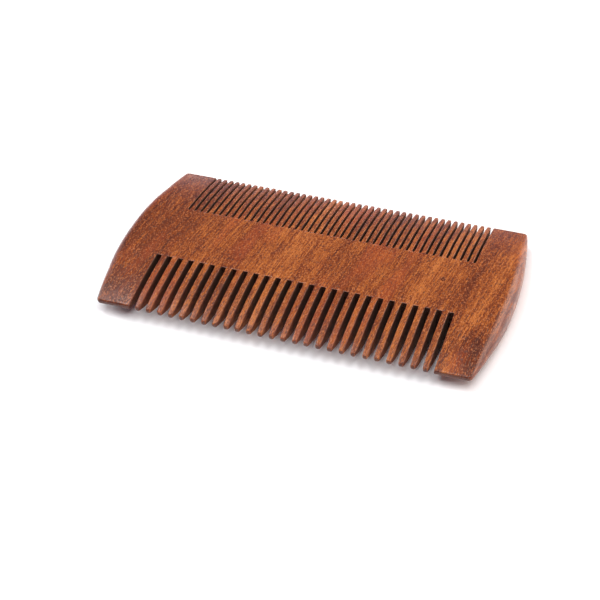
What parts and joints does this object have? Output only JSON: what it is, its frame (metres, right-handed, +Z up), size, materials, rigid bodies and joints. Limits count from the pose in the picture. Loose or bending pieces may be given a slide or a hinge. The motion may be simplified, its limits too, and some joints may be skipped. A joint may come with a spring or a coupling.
{
  "type": "two-sided wooden comb",
  "caption": "Flat wooden pocket comb with a lens-shaped section: wide coarse teeth along one long side, fine teeth along the other, a solid spine between and curved end guards.",
  "frame": {"origin": "middle of the underside, on the narrow flat that the comb rests on", "axes": "+X along the length towards the right guard, +Y across the comb from the coarse teeth to the fine teeth, +Z up through the thickness"},
  "size_m": [0.104, 0.0576, 0.0076],
  "materials": {
    "sandalwood": "red-brown sandalwood, fine straight grain across the comb, sanded and waxed to a soft satin"
  },
  "bodies": {
    "root": {"spine": "sandalwood", "left_guard": "sandalwood", "right_guard": "sandalwood", "coarse_tooth_01": "sandalwood", "coarse_tooth_02": "sandalwood", "coarse_tooth_03": "sandalwood", "coarse_tooth_04": "sandalwood", "coarse_tooth_05": "sandalwood", "coarse_tooth_06": "sandalwood", "coarse_tooth_07": "sandalwood", "coarse_tooth_08": "sandalwood", "coarse_tooth_09": "sandalwood", "coarse_tooth_10": "sandalwood", "coarse_tooth_11": "sandalwood", "coarse_tooth_12": "sandalwood", "coarse_tooth_13": "sandalwood", "coarse_tooth_14": "sandalwood", "coarse_tooth_15": "sandalwood", "coarse_tooth_16": "sandalwood", "coarse_tooth_17": "sandalwood", "coarse_tooth_18": "sandalwood", "coarse_tooth_19": "sandalwood", "coarse_tooth_20": "sandalwood", "coarse_tooth_21": "sandalwood", "coarse_tooth_22": "sandalwood", "coarse_tooth_23": "sandalwood", "coarse_tooth_24": "sandalwood", "coarse_tooth_25": "sandalwood", "coarse_tooth_26": "sandalwood", "fine_teeth_group_01": "sandalwood", "fine_teeth_group_02": "sandalwood", "fine_teeth_group_03": "sandalwood", "fine_teeth_group_04": "sandalwood", "fine_teeth_group_05": "sandalwood", "fine_teeth_group_06": "sandalwood", "fine_teeth_group_07": "sandalwood", "fine_teeth_group_08": "sandalwood", "fine_teeth_group_09": "sandalwood", "fine_teeth_group_10": "sandalwood", "fine_teeth_group_11": "sandalwood"}
  },
  "joints": []
}
